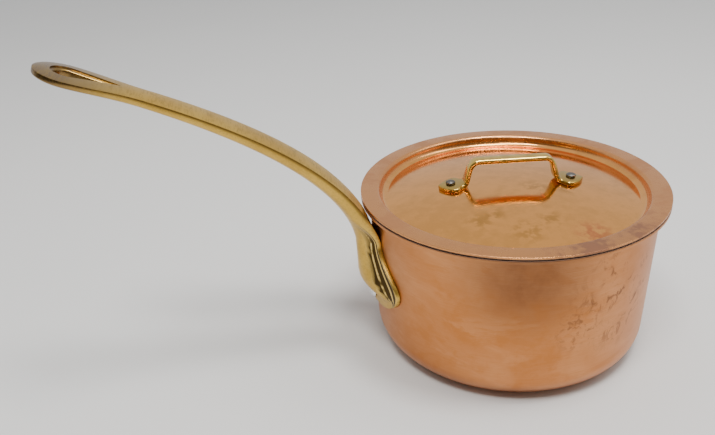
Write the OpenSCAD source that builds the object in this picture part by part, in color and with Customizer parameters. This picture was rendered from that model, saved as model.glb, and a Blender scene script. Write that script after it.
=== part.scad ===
// Straight-sided copper saucepan with a flared pouring lip, a riveted cast brass handle
// and a recessed copper lid that lifts off. Millimetres, +Z up. The origin is on the pan's
// axis, on the surface that the base stands on, and the long handle points along -X.

/* [Pan] */
// Outside diameter of the wall, just under the lip
pan_d = 189; // [150:1:230]
// Height of the pan, from the base to the top of the lip
pan_h = 108.5; // [88:0.5:132]
// Outside diameter of the flat base inside its rounded corner
base_d = 144; // [118:1:152]
// Outside radius of the corner between base and wall
corner_r = 20; // [12:0.5:25]
// How far the lip reaches out past the wall
lip_reach = 5.5; // [4:0.1:9]
// Radius of the flare under the lip
flare_r = 3.5; // [2:0.1:3.8]
// Thickness of the copper
copper_t = 1.6; // [1:0.1:3]
// Thickness of the steel lining
lining_t = 0.4; // [0.2:0.1:0.8]

/* [Long handle] */
// Reach of the handle past the edge of the lip
handle_reach = 176.5; // [145:1:215]
// Height of the handle's tip above the lip
handle_rise = 110; // [88:0.5:131]
// Slope of the hanging loop above the horizontal, in degrees
loop_slope = 23; // [14:0.5:30]
// Length of the upright tangent where the handle bends over the lip
bend_pull = 52; // [43:1:62]
// Length of the tangent that leads into the hanging loop
end_pull = 84; // [68:1:100]
// Width of the stem at its narrowest
stem_w = 22; // [18:0.5:26]
// Thickness of the stem beside the loop
stem_t = 5.4; // [4.6:0.1:6.6]
// Width of the stem where it crosses the lip
neck_w = 28; // [23:0.5:33]
// Thickness of the casting at the neck, beside the wall
neck_t = 12.8; // [10.7:0.1:15.4]
// Crown across the top face of the stem
stem_crown = 1.5; // [0.5:0.1:2]
// Gap between the casting and the wall
handle_gap = 0.2; // [0.15:0.05:0.4]
// Clearance that sets how far the neck leans out past the pan's lip
lip_gap = 0.6; // [0.4:0.1:3]

/* [Handle foot] */
// Depth of the foot's lowest point below the top of the lip
foot_drop = 70; // [58:0.5:72]
// Height of the foot from its lowest point to its widest place
lobe_h = 17.5; // [14.5:0.5:21]
// Height of the foot from its lowest point to the neck
foot_h = 48; // [41:0.5:53]
// Width of the foot at its widest
foot_w = 68; // [57:1:82]
// Thickness of the foot at its thin lower end
foot_t = 3.5; // [2.6:0.1:4.4]
// Half width of the outer face where it leaves the neck
face_half = 8.5; // [6.5:0.1:9]
// Crown across the outer face of the foot
foot_crown = 4; // [2.5:0.1:4.8]

/* [Hanging loop] */
// Outside radius of the loop
loop_r = 17.8; // [14.8:0.1:21.4]
// Radius of the round end of the eye
eye_r = 7; // [5.5:0.1:8.5]
// Length from the eye's round centre to its point
eye_tail = 25; // [20:0.5:30]
// Length over which the stem widens into the loop
loop_blend = 41; // [31:1:50]

/* [Handle rivets] */
// Diameter of a handle rivet's shank
rivet_d = 6; // [4.5:0.1:7.2]
// Height of the lower rivet above the foot's lowest point
low_rivet_h = 6.2; // [5.6:0.1:7.6]
// Height of the two upper rivets above the foot's lowest point
up_rivet_h = 40; // [33:0.5:44]
// Distance between the two upper rivets
up_rivet_gap = 13; // [10.5:0.5:16]
// Depth of the blind holes of the upper rivets in the casting
blind_depth = 4.5; // [3.5:0.1:5.5]
// Diameter of the flat seat under the lower rivet's outer head
seat_d = 11.4; // [9.8:0.1:13.4]
// Diameter of a rivet head
head_d = 10.4; // [8.8:0.1:11.4]
// Height of the outer domed head
dome_h = 3.4; // [2.6:0.1:4]
// Height of the heads inside the pan
inner_head_h = 1.8; // [1.2:0.1:2.4]

/* [Lid] */
// Thickness of the lid's copper
lid_copper_t = 1.2; // [0.8:0.1:2]
// Thickness of the lid's lining
lid_lining_t = 0.3; // [0.2:0.1:0.6]
// Width of the lid's flat flange, from its rim to the recess
flange_w = 13; // [11:0.1:15.6]
// Depth of the recess below the top of the flange
recess_d = 7.2; // [6:0.1:8.8]
// Radius of the bend at the recess's upper edge
recess_bend_r = 2.6; // [2.3:0.1:3.2]
// Radius of the fillet at the recess's foot
recess_fillet_r = 4.2; // [3:0.1:4.6]
// Radius of the shallow dome of the centre panel
dome_r = 440; // [360:10:800]
// Gap between the flange and the lip when the lid is shut
seat_gap = 0.2; // [0.1:0.05:0.4]
// Turn of the lid about the pan's axis, in degrees
lid_turn = -11; // [-180:1:180]

/* [Lid handle] */
// Distance between the two lid rivets
lid_rivet_gap = 80; // [66:1:96]
// Height of the bow's top above the centre of the panel
bow_h = 18.5; // [15:0.5:22]
// Length of the flat top of the bow
bow_top = 52; // [43:1:60]
// Length of the bow between the roots of its legs
bow_root = 64; // [60:1:68]
// Width of the bow's strap
strap_w = 8; // [6.5:0.1:9.5]
// Thickness of the bow's strap
strap_t = 3.2; // [2.6:0.1:3.8]
// Width of a foot
pad_w = 20; // [16:0.5:24]
// Length of a foot, outward from the leg's root
pad_len = 17; // [14:0.5:21]
// Thickness of a foot
pad_t = 3; // [2.4:0.1:3.6]
// Diameter of a lid rivet's shank
lid_rivet_d = 4.2; // [3.4:0.1:5]
// Diameter of a lid rivet's heads
lid_head_d = 6.4; // [5.3:0.1:7.7]
// Height of a lid rivet's upper head
lid_head_h = 2.2; // [1.6:0.1:2.6]
// Height of a lid rivet's head under the lid
lid_head_in_h = 1.5; // [1:0.1:2]

/* [Hidden] */
$fn = 96;
over = 1;                                   // how far a cutter runs past the face it cuts
arc_steps = 10;                             // straight pieces in a profile's quarter arc

// --- pan profile: every layer is the outer outline moved in by its depth ---
wall_t = copper_t + lining_t;
lip_r = pan_d / 2 + lip_reach;
corner_c = [base_d / 2, corner_r];          // centre of the base corner
flare_c = [pan_d / 2 + flare_r, pan_h - wall_t - flare_r];
wall_span = flare_c - corner_c;
wall_lean = atan2(wall_span[1], wall_span[0]) - acos((corner_r + flare_r) / norm(wall_span));
wall_foot = corner_c + corner_r * [cos(wall_lean), sin(wall_lean)];
wall_top = flare_c - flare_r * [cos(wall_lean), sin(wall_lean)];

function arc(c, r, from, to) =
    [for (i = [0:arc_steps]) c + r * [cos(from + (to - from) * i / arc_steps),
                                      sin(from + (to - from) * i / arc_steps)]];
function pan_line(depth) = concat(
    [[0, depth]],
    arc(corner_c, corner_r - depth, -90, wall_lean),
    arc(flare_c, flare_r + depth, 180 + wall_lean, 90),
    [[lip_r, flare_c[1] + flare_r + depth]]);
function reversed(list) = [for (i = [len(list) - 1:-1:0]) list[i]];
// Radius of the wall's outer face at height z
function wall_r(z) = wall_foot[0]
    + (z - wall_foot[1]) * (wall_top[0] - wall_foot[0]) / (wall_top[1] - wall_foot[1]);

// --- lid profile: every layer is the top outline moved down by its depth ---
lid_t = lid_copper_t + lid_lining_t;
flange_z = pan_h + seat_gap + lid_t;
recess_r = lip_r - flange_w;
bend_c = [recess_r + recess_bend_r, flange_z - recess_bend_r];
fillet_r = min(recess_fillet_r, recess_d - recess_bend_r - 0.2);
fillet_c = [recess_r - fillet_r, flange_z - recess_d + fillet_r];
dome_half = asin(fillet_c[0] / (dome_r + fillet_r));
dome_z = fillet_c[1] - (dome_r + fillet_r) * cos(dome_half);
panel_z = dome_z + dome_r;                  // top of the panel on the axis

function lid_line(depth) = concat(
    [[lip_r, flange_z - depth]],
    arc(bend_c, recess_bend_r - depth, 90, 180),
    arc(fillet_c, fillet_r + depth, 0, -90 - dome_half),
    arc([0, dome_z], dome_r - depth, 90 - dome_half, 90));

// --- long handle: a curve in the plane of the pan's axis, with a section at each station ---
foot_z = pan_h - foot_drop;
lobe_z = foot_z + lobe_h;
neck_z = foot_z + foot_h;
low_z = foot_z + low_rivet_h;
up_z = foot_z + up_rivet_h;
// Lean of the curve as it leaves the foot, steep enough for the handle to clear the lip
neck_run = pan_h - wall_t - neck_z;
neck_step = lip_r + lip_gap - wall_r(neck_z) - handle_gap;
neck_lean = atan(1.4 * neck_step / neck_run - 0.0126686 * neck_run);
loop_dir = [cos(loop_slope), sin(loop_slope)];
curve_start = [wall_r(neck_z) + handle_gap + neck_t / 2, neck_z];
curve_end = [lip_r + handle_reach, pan_h + handle_rise] - loop_r * loop_dir;
curve = [curve_start,
         curve_start + bend_pull * [sin(neck_lean), cos(neck_lean)],
         curve_end - end_pull * loop_dir,
         curve_end];
foot_steps = 5;
flank_steps = 8;
stem_steps = 22;
loop_steps = 5;
side_steps = 13;

function bezier(p, t) = pow(1 - t, 3) * p[0] + 3 * pow(1 - t, 2) * t * p[1]
    + 3 * (1 - t) * t * t * p[2] + pow(t, 3) * p[3];
function bezier_dir(p, t) = pow(1 - t, 2) * (p[1] - p[0]) + 2 * (1 - t) * t * (p[2] - p[1])
    + t * t * (p[3] - p[2]);
function clamp01(t) = min(1, max(0, t));
function ease(t) = let (c = clamp01(t)) c * c * (3 - 2 * c);
function mix(a, b, t) = a + (b - a) * t;

// Half width and centre thickness of the foot at height z
function foot_half(z) = z < lobe_z
    ? foot_w / 2 * sqrt(1 - pow((lobe_z - z) / lobe_h, 2))
    : mix(foot_w / 2, neck_w / 2, ease((z - lobe_z) / (neck_z - lobe_z)));
function foot_thick(z) = mix(foot_t, neck_t, 1 - pow(1 - clamp01((z - low_z - rivet_d / 2) / lobe_h), 3));
// Half width of the outer face, which flares to the whole foot at its lower end
function face_at(z) = min(foot_half(z) - 0.4,
    face_half + (foot_w / 2 - neck_w / 2) * pow(clamp01((neck_z - z - 5) / (foot_h - 17)), 2));

// Half width and thickness of the stem; q is the distance back from the loop's centre
function stem_half(q, t) = mix(mix(neck_w, stem_w, t) / 2, loop_r,
    1 - ease(q / loop_blend));
function stem_thick(t) = mix(neck_t, stem_t, pow(clamp01(t * 1.05), 0.7));

// A station: [point on the inner face, direction out of that face, half width, thickness,
// share of the foot's shape, half width of the outer face]
function foot_station(z) = [[wall_r(z) + handle_gap, z], [1, 0], foot_half(z), foot_thick(z), 1,
    face_at(z)];
function stem_station(t) =
    let (p = bezier(curve, t), d = bezier_dir(curve, t) / norm(bezier_dir(curve, t)),
         n = [d[1], -d[0]], th = stem_thick(t))
    [p - n * th / 2, n, stem_half(norm(p - curve_end), t), th, 1 - ease(t * 7), face_half];
function loop_station(a) =
    let (n = [loop_dir[1], -loop_dir[0]], p = curve_end + loop_r * sin(a) * loop_dir)
    [p - n * stem_t / 2, n, loop_r * cos(a), stem_t, 0, face_half];
stations = concat(
    [for (i = [0:foot_steps]) foot_station(lobe_z - lobe_h * cos(12 + 78 * i / foot_steps))],
    [for (i = [1:flank_steps]) foot_station(mix(lobe_z, neck_z, i / flank_steps))],
    [for (i = [1:stem_steps]) stem_station(i / stem_steps)],
    [for (i = [1:loop_steps]) loop_station(80 * i / loop_steps)]);

// Height of the inner and the outer face above the station's point, at side offset y
function inner_at(s, y) = mix(-stem_crown * (1 - pow(y / s[2], 2)),
    sqrt(pow(s[0][0], 2) - y * y) - s[0][0], s[4]);
function stem_out(s, y) = mix(s[3] * 0.45, s[3], sqrt(max(0, 1 - pow(y / s[2], 2))));
function foot_out(s, y) =
    let (edge = min(foot_t, s[3]) * 0.8, face = max(edge, s[3] - foot_crown),
         v = clamp01((abs(y) - s[5]) / max(0.01, s[2] - s[5])))
    abs(y) <= s[5] ? s[3] - (s[3] - face) * pow(y / s[5], 2)
                   : edge + (face - edge) * pow(1 - v, 2);
function outer_at(s, y) = mix(stem_out(s, y), foot_out(s, y)
    + sqrt(pow(s[0][0], 2) - y * y) - s[0][0], s[4]);
function place(s, x, y) = [-(s[0][0] + s[1][0] * x), y, s[0][1] + s[1][1] * x];
function ring(s) = concat(
    [for (i = [0:side_steps]) let (y = s[2] * (2 * i / side_steps - 1)) place(s, outer_at(s, y), y)],
    [for (i = [side_steps:-1:0]) let (y = s[2] * (2 * i / side_steps - 1)) place(s, inner_at(s, y), y)]);

module swept(sections) {
    rings = [for (s = sections) ring(s)];
    n = len(rings[0]);
    last = len(rings) - 1;
    walls = [for (j = [0:last - 1], i = [0:n - 1], half = [0, 1])
        let (a = j * n + i, b = j * n + (i + 1) % n, c = b + n, d = a + n)
        half == 0 ? [a, b, c] : [a, c, d]];
    polyhedron(points = [for (r = rings) for (p = r) p],
               faces = concat([[for (i = [n - 1:-1:0]) i]], walls,
                              [[for (i = [0:n - 1]) last * n + i]]));
}

// --- rivets of the long handle: height, side offset, and the radius where each shank ends ---
seat_r = wall_r(low_z) + handle_gap + foot_t;
up_end_r = wall_r(up_z) + handle_gap + blind_depth;

// --- lid handle ---
bow_z = panel_z + bow_h;
rivet_drop = dome_r - sqrt(pow(dome_r, 2) - pow(lid_rivet_gap / 2, 2));
pad_top = panel_z - rivet_drop + pad_t;
pad_low = pad_top - pad_t - 3;              // below the dome everywhere under a foot
pad_neck = strap_w + 4;

module pan_layer(from, to) {
    rotate_extrude() polygon(concat(pan_line(from), reversed(pan_line(to))));
}

module pan_inside() {
    rotate_extrude() polygon(concat(pan_line(wall_t), [[0, pan_h]]));
}

module lid_layer(from, to) {
    rotate_extrude() polygon(concat(lid_line(from), reversed(lid_line(to))));
}

// Everything under the lid's face at this depth
module lid_below(depth) {
    rotate_extrude() polygon(concat(lid_line(depth), [[0, 0], [lip_r, 0]]));
}

// A rod along -X at height z and side offset y, from radius r0 to radius r1
module rod(z, y, d, r0, r1) {
    translate([-r0, y, z]) rotate([0, -90, 0]) cylinder(d = d, h = r1 - r0);
}

module handle_rods(d) {
    inner = wall_r(low_z) - wall_t - 5;
    rod(low_z, 0, d, inner, seat_r + over);
    for (side = [-1, 1]) rod(up_z, side * up_rivet_gap / 2, d, inner, up_end_r);
}

// A low domed cap whose flat side is at the origin, rising along +Z
module cap(d, h) {
    ball_r = (d * d / 4 + h * h) / (2 * h);
    rotate_extrude() polygon(concat([[0, 0]],
        [for (i = [0:arc_steps]) let (a = asin(d / 2 / ball_r) * (1 - i / arc_steps))
            [ball_r * sin(a), ball_r * cos(a) - ball_r + h]]));
}

// A head inside the pan: its flat side is buried in the wall and trimmed to it
module inner_head(z, y) {
    depth = 1.5;
    wall_x = sqrt(pow(wall_r(z) - wall_t, 2) - y * y);
    intersection() {
        translate([-wall_x - depth, y, z]) rotate([0, 90, 0]) union() {
            cylinder(d = head_d, h = depth);
            translate([0, 0, depth]) cap(head_d, inner_head_h);
        }
        pan_inside();
    }
}

module eye() {
    thick = stem_t + 4 * over + 2 * stem_crown;
    slant = acos(eye_r / eye_tail);
    translate([-curve_end[0], 0, curve_end[1]]) rotate([0, loop_slope, 0])
        translate([0, 0, -thick / 2]) {
            cylinder(r = eye_r, h = thick);
            linear_extrude(height = thick) polygon([
                [eye_tail, 0],
                [eye_r * cos(slant), eye_r * sin(slant)],
                [0, 0],
                [eye_r * cos(slant), -eye_r * sin(slant)]]);
        }
}

// Outline of a lid handle foot, from the leg's root outward along +X
module pad_outline() {
    root = bow_root / 2 - 1;
    tip = root + pad_len;
    nose_r = 4;
    shoulder = root + 6;
    polygon(concat(
        [[root, -pad_neck / 2], [shoulder, -pad_w / 2]],
        [for (i = [0:arc_steps]) let (a = -60 + 120 * i / arc_steps)
            [tip - nose_r + nose_r * cos(a), nose_r * sin(a)]],
        [[shoulder, pad_w / 2], [root, pad_neck / 2]]));
}

// Side outline of the bow, from leg to leg
module bow_outline() {
    out = bow_root / 2;
    top = bow_top / 2;
    cut = 5;
    low = panel_z - 3;
    polygon([
        [-out, low], [-out, pad_top], [-top - cut * 0.45, bow_z - cut], [-top + cut * 0.4, bow_z],
        [top - cut * 0.4, bow_z], [top + cut * 0.45, bow_z - cut], [out, pad_top], [out, low],
        [out - strap_t, low], [out - strap_t, pad_top], [top + cut * 0.45 - strap_t, bow_z - cut],
        [top - cut * 0.6, bow_z - strap_t], [-top + cut * 0.6, bow_z - strap_t],
        [-top - cut * 0.45 + strap_t, bow_z - cut], [-out + strap_t, pad_top],
        [-out + strap_t, low]]);
}

module turned() {
    rotate([0, 0, lid_turn]) children();
}

module pan_shell() {
    color("peru") difference() {
        pan_layer(0, copper_t);
        handle_rods(rivet_d);
    }
}

module pan_lining() {
    color("silver") difference() {
        pan_layer(copper_t, wall_t);
        handle_rods(rivet_d);
    }
}

module long_handle() {
    color("goldenrod") difference() {
        swept(stations);
        handle_rods(rivet_d);
        rod(low_z, 0, seat_d, seat_r, seat_r + neck_t);
        eye();
    }
}

module handle_rivet_lower() {
    color("gainsboro") union() {
        rod(low_z, 0, rivet_d, wall_r(low_z) - wall_t - 0.5, seat_r);
        translate([-seat_r, 0, low_z]) rotate([0, -90, 0]) cap(head_d, dome_h);
        inner_head(low_z, 0);
    }
}

module upper_rivet(y) {
    color("gainsboro") union() {
        rod(up_z, y, rivet_d, wall_r(up_z) - wall_t - 0.8, up_end_r);
        inner_head(up_z, y);
    }
}

module handle_rivet_left() {
    upper_rivet(up_rivet_gap / 2);
}

module handle_rivet_right() {
    upper_rivet(-up_rivet_gap / 2);
}

module lid_holes() {
    turned() for (side = [-1, 1])
        translate([side * lid_rivet_gap / 2, 0, panel_z - 10]) cylinder(d = lid_rivet_d, h = 20);
}

module lid_shell() {
    color("peru") difference() {
        lid_layer(0, lid_copper_t);
        lid_holes();
    }
}

module lid_lining() {
    color("silver") difference() {
        lid_layer(lid_copper_t, lid_t);
        lid_holes();
    }
}

module lid_handle() {
    color("khaki") difference() {
        turned() union() {
            translate([0, strap_w / 2, 0]) rotate([90, 0, 0])
                linear_extrude(height = strap_w) bow_outline();
            for (side = [0, 180]) rotate([0, 0, side])
                translate([0, 0, pad_low]) linear_extrude(height = pad_top - pad_low) pad_outline();
        }
        lid_below(0);
        lid_holes();
    }
}

module lid_rivet(side) {
    head_low = panel_z - rivet_drop - lid_t - lid_head_in_h;
    color("dimgray") {
        turned() translate([side * lid_rivet_gap / 2, 0, 0]) {
            translate([0, 0, pad_top]) cap(lid_head_d, lid_head_h);
            translate([0, 0, head_low]) cylinder(d = lid_rivet_d, h = pad_top - head_low);
        }
        intersection() {
            turned() translate([side * lid_rivet_gap / 2, 0, head_low])
                cylinder(d = lid_head_d, h = lid_head_in_h + 1);
            lid_below(lid_t);
        }
    }
}

module lid_rivet_left() {
    lid_rivet(-1);
}

module lid_rivet_right() {
    lid_rivet(1);
}

pan_shell();
pan_lining();
long_handle();
handle_rivet_lower();
handle_rivet_left();
handle_rivet_right();
lid_shell();
lid_lining();
lid_handle();
lid_rivet_left();
lid_rivet_right();
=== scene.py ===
"""Finished look of a lidded copper saucepan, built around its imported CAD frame.

Lengths in the part classes are millimetres, as in the design; MM turns them into metres.
The origin is on the pan's axis at the base, +Z is up and the long handle points along -X.
"""

import logging
import math
from dataclasses import dataclass
from enum import Enum
from typing import Iterable, Sequence, Union

import bmesh
import bpy
from mathutils import Matrix, Vector


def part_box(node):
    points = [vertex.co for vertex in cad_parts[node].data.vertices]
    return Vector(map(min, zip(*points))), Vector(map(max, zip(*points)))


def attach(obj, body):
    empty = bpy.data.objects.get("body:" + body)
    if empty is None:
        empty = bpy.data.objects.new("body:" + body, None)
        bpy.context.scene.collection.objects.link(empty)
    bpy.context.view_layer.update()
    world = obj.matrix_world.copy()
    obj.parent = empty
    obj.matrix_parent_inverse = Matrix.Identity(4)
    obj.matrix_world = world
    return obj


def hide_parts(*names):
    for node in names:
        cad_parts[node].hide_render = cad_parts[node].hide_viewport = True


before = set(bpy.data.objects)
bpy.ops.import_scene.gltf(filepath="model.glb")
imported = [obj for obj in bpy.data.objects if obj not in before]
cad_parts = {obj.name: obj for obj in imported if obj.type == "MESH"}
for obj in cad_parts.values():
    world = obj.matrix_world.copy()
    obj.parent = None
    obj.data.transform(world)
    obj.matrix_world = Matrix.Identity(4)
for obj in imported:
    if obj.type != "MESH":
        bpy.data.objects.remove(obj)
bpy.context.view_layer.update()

LOG = logging.getLogger("saucepan")
MM = 0.001
MASKS = ("top_face", "edge_reflection", "flute", "across")
SMOOTH_BELOW = 38.0
ON_AXIS = 1e-6
SAME_POINT = 1e-9
Point = tuple[float, float]
Colour = tuple[float, float, float]
Ball = tuple[tuple[float, float, float], float]


class Slot(Enum):
    """Names of the material slots."""

    BODY = "copper_body"
    LID = "copper_lid"
    LINING = "lining"
    HANDLE = "handle_brass"
    RIVET = "rivet_steel"
    BOW = "bow_brass"
    LID_RIVET = "lid_rivet_steel"


class Body(Enum):
    """The two bodies of the frame."""

    PAN = "pan"
    LID = "lid"


# --- shader maths ---------------------------------------------------------------------------


class Value:
    """A number that varies over a surface, held as a node socket."""

    def __init__(self, board: "Board", socket: bpy.types.NodeSocket) -> None:
        """Wraps an output socket of a board."""
        self.board = board
        self.socket = socket

    def _math(self, operation: str, *terms: "Number") -> "Value":
        """Adds one Math node and returns its result.

        Args:
            operation: The Math node's operation.
            terms: The node's inputs in order.

        Returns:
            The node's output.
        """
        inputs = {i: term for i, term in enumerate(terms)}
        made = self.board.node("ShaderNodeMath", {"operation": operation}, inputs)
        return Value(self.board, made.outputs[0])

    def __add__(self, other: "Number") -> "Value":
        """Sum."""
        return self._math("ADD", self, other)

    __radd__ = __add__

    def __sub__(self, other: "Number") -> "Value":
        """Difference."""
        return self._math("SUBTRACT", self, other)

    def __rsub__(self, other: "Number") -> "Value":
        """Difference from a number on the left."""
        return self._math("SUBTRACT", other, self)

    def __mul__(self, other: "Number") -> "Value":
        """Product."""
        return self._math("MULTIPLY", self, other)

    __rmul__ = __mul__

    def __pow__(self, other: "Number") -> "Value":
        """Power."""
        return self._math("POWER", self, other)

    def angle_from(self, along: "Value") -> "Value":
        """Angle of the point (along, self), in radians."""
        return self._math("ARCTAN2", self, along)

    def limit(self) -> "Value":
        """The value held between 0 and 1."""
        return self._math("MINIMUM", self._math("MAXIMUM", self, 0.0), 1.0)

    def rise(self, low: float, high: float) -> "Value":
        """A smooth step.

        Args:
            low: Where the step starts, at 0.
            high: Where it ends, at 1; below low, the step falls instead.

        Returns:
            The step, from 0 to 1.
        """
        settings = {"interpolation_type": "SMOOTHSTEP"}
        down = high < low
        inputs = {"Value": self, "From Min": min(low, high), "From Max": max(low, high)}
        step = Value(self.board, self.board.node("ShaderNodeMapRange", settings, inputs).outputs[0])
        return 1.0 - step if down else step


Number = Union[float, Value]


class Board:
    """The node tree of one material, or of the air round the scene."""

    def __init__(self, name: str, air: bool = False) -> None:
        """Makes an empty tree with the coordinates of its points.

        Args:
            name: The material's name.
            air: True to dress the world instead of a surface.
        """
        self.owner = (bpy.data.worlds if air else bpy.data.materials).new(name)
        self.owner.use_nodes = True
        self.tree = self.owner.node_tree
        self.tree.nodes.clear()
        coords = self.node("ShaderNodeTexCoord")
        self.place = coords.outputs["Generated" if air else "Object"]
        parts = self.node("ShaderNodeSeparateXYZ", {}, {0: self.place})
        self.x, self.y, self.z = (Value(self, out) for out in parts.outputs)

    def node(self, kind: str, settings: dict | None = None, inputs: dict | None = None) -> bpy.types.Node:
        """Adds a node.

        Args:
            kind: The node's type name.
            settings: Its properties, set first; "stops" fills a colour ramp.
            inputs: Values or links for its sockets, by name or number.

        Returns:
            The new node.
        """
        made = self.tree.nodes.new(kind)
        for key, value in (settings or {}).items():
            if key == "stops":
                self._stops(made.color_ramp, value)
            else:
                setattr(made, key, value)
        for key, value in (inputs or {}).items():
            source = value.socket if isinstance(value, Value) else value
            if isinstance(source, bpy.types.NodeSocket):
                self.tree.links.new(source, made.inputs[key])
            else:
                made.inputs[key].default_value = source
        return made

    @staticmethod
    def _stops(ramp: bpy.types.ColorRamp, stops: Sequence[tuple[float, Colour]]) -> None:
        """Gives a colour ramp its stops.

        Args:
            ramp: The ramp.
            stops: Positions and colours, in order.
        """
        while len(ramp.elements) < len(stops):
            ramp.elements.new(1.0)
        for element, (position, colour) in zip(ramp.elements, stops):
            element.position = position
            element.color = (*colour, 1.0)

    def join(self, x: Number, y: Number, z: Number) -> bpy.types.NodeSocket:
        """Makes a vector from three numbers."""
        return self.node("ShaderNodeCombineXYZ", {}, {0: x, 1: y, 2: z}).outputs[0]

    def stretch(self, vector: bpy.types.NodeSocket, factors: Sequence[float]) -> bpy.types.NodeSocket:
        """Multiplies a vector, axis by axis."""
        made = self.node("ShaderNodeVectorMath", {"operation": "MULTIPLY"}, {0: vector, 1: factors})
        return made.outputs[0]

    def noise(self, vector: bpy.types.NodeSocket, scale: float, detail: float = 3.0,
              rough: float = 0.55, twist: float = 0.0) -> Value:
        """Fractal noise.

        Args:
            vector: Where it is sampled.
            scale: Its frequency in the vector's units.
            detail: Number of octaves.
            rough: Strength of the finer octaves.
            twist: Distortion.

        Returns:
            The noise, about 0 to 1.
        """
        inputs = {"Vector": vector, "Scale": scale, "Detail": detail, "Roughness": rough,
                  "Distortion": twist}
        return Value(self, self.node("ShaderNodeTexNoise", {}, inputs).outputs[0])

    def painted(self, name: str) -> Value:
        """A mask that the mesh carries as a named attribute."""
        return Value(self, self.node("ShaderNodeAttribute", {"attribute_name": name}).outputs["Fac"])

    def spot(self, centre: Sequence[float], radius: float, soft: float) -> Value:
        """A ball, 1 inside and 0 from its radius on, fading over the share soft of that radius."""
        away = self.node("ShaderNodeVectorMath", {"operation": "DISTANCE"}, {0: self.place, 1: centre})
        return Value(self, away.outputs["Value"]).rise(radius, radius * (1.0 - soft))

    def tint(self, amount: Number, first: "Paint", second: "Paint",
             mode: str = "MIX") -> bpy.types.NodeSocket:
        """Mixes two colours.

        Args:
            amount: Share of the second colour.
            first: A colour or a socket.
            second: A colour or a socket.
            mode: The Mix node's blend type.

        Returns:
            The mixed colour.
        """
        full = [(*c, 1.0) if isinstance(c, tuple) else c for c in (first, second)]
        settings = {"data_type": "RGBA", "blend_type": mode}
        return self.node("ShaderNodeMix", settings, {0: amount, 6: full[0], 7: full[1]}).outputs[2]

    def bump(self, height: Value, depth: float, strength: float = 1.0) -> bpy.types.NodeSocket:
        """A normal bumped by a height from 0 to 1, depth metres deep."""
        inputs = {"Height": height, "Distance": depth, "Strength": strength}
        return self.node("ShaderNodeBump", {}, inputs).outputs[0]

    def finish(self, inputs: dict) -> bpy.types.Material:
        """Closes the material with one Principled shader.

        Args:
            inputs: The shader's sockets.

        Returns:
            The material.
        """
        shader = self.node("ShaderNodeBsdfPrincipled", {}, inputs)
        self.node("ShaderNodeOutputMaterial", {}, {0: shader.outputs[0]})
        return self.owner


Paint = Union[Colour, bpy.types.NodeSocket]


# --- finishes -------------------------------------------------------------------------------


@dataclass(frozen=True)
class BodyCopper:
    """Satin copper, brushed round the wall, tarnished in soft patches and scuffed on one side.

    The painted shadow under the lip, the scratches and the smear are balls, as centre and radius in metres.
    """

    clean: Colour = (0.55, 0.22, 0.075)
    pale: Colour = (0.66, 0.305, 0.13)
    tarnish: Colour = (0.49, 0.175, 0.042)
    shade: Colour = (0.13, 0.05, 0.025)
    scuff: Colour = (0.20, 0.085, 0.04)
    shadow: Ball = ((-0.026, -0.090, 0.096), 0.058)
    scratched: Ball = ((0.034, -0.088, 0.070), 0.046)
    smeared: Ball = ((0.006, -0.094, 0.055), 0.022)

    def material(self) -> bpy.types.Material:
        """Builds the material.

        Returns:
            The material.
        """
        b = Board("brushed_copper")
        turn = b.y.angle_from(b.x)
        round_wall = b.join(turn * 0.6, b.z * 26.0, 0.0)
        hair = b.noise(b.stretch(round_wall, (1.0, 14.0, 1.0)), 6.0, 5.0, 0.75)
        lines = b.noise(round_wall, 9.0, 3.0, 0.6)
        cloud = b.noise(b.stretch(b.place, (1.0, 1.0, 1.5)), 13.0, 4.0, 0.6, 0.6)
        mottle = b.noise(b.place, 60.0, 4.0, 0.65)
        colour = b.tint((cloud * 0.8 + hair * 0.2).rise(0.42, 0.66) * 0.85, self.clean, self.pale)
        colour = b.tint((cloud * 0.45 + mottle * 0.55).rise(0.50, 0.36) * 0.6, colour, self.tarnish)
        colour = b.tint(hair.rise(0.40, 0.62) * 0.42, colour, self.tarnish)
        wisps = b.noise(b.stretch(round_wall, (1.6, 1.0, 1.0)), 2.2, 5.0, 0.65, 0.5)
        colour = b.tint(wisps.rise(0.52, 0.66) * 0.40, colour, self.pale)
        colour = b.tint(wisps.rise(0.46, 0.36) * 0.40, colour, self.tarnish)
        # Painted shadow under the lip, broken up by mottle.
        under_lip = b.spot(*self.shadow, 0.9) * (0.5 + mottle * 0.6)
        colour = b.tint(under_lip.limit() * 0.9, colour, self.shade)
        scuffed = self._scuffs(b)
        colour = b.tint(scuffed * 0.78, colour, self.scuff)
        rough = 0.27 + cloud * 0.10 + hair * 0.09 + scuffed * 0.12
        height = hair * 0.7 + lines * 0.3
        return b.finish({
            "Base Color": colour, "Metallic": 1.0, "Roughness": rough,
            "Anisotropic": 0.45, "Normal": b.bump(height, 0.00003, 0.5)})

    def _scuffs(self, b: Board) -> Value:
        """Short finger marks and scratches on the side away from the handle.

        Args:
            b: The board of the copper.

        Returns:
            The mask, from 0 to 1.
        """
        zone = b.spot(*self.scratched, 0.7)
        strokes = b.noise(b.stretch(b.place, (150.0, 150.0, 90.0)), 1.0, 6.0, 0.65, 1.2).rise(0.50, 0.61)
        broken = b.noise(b.place, 45.0, 2.0).rise(0.40, 0.55)
        smear = b.spot(*self.smeared, 0.8)
        blots = b.noise(b.place, 210.0, 5.0, 0.65, 0.6).rise(0.50, 0.62)
        return (zone * strokes * broken + smear * blots * 0.8).limit()


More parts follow.
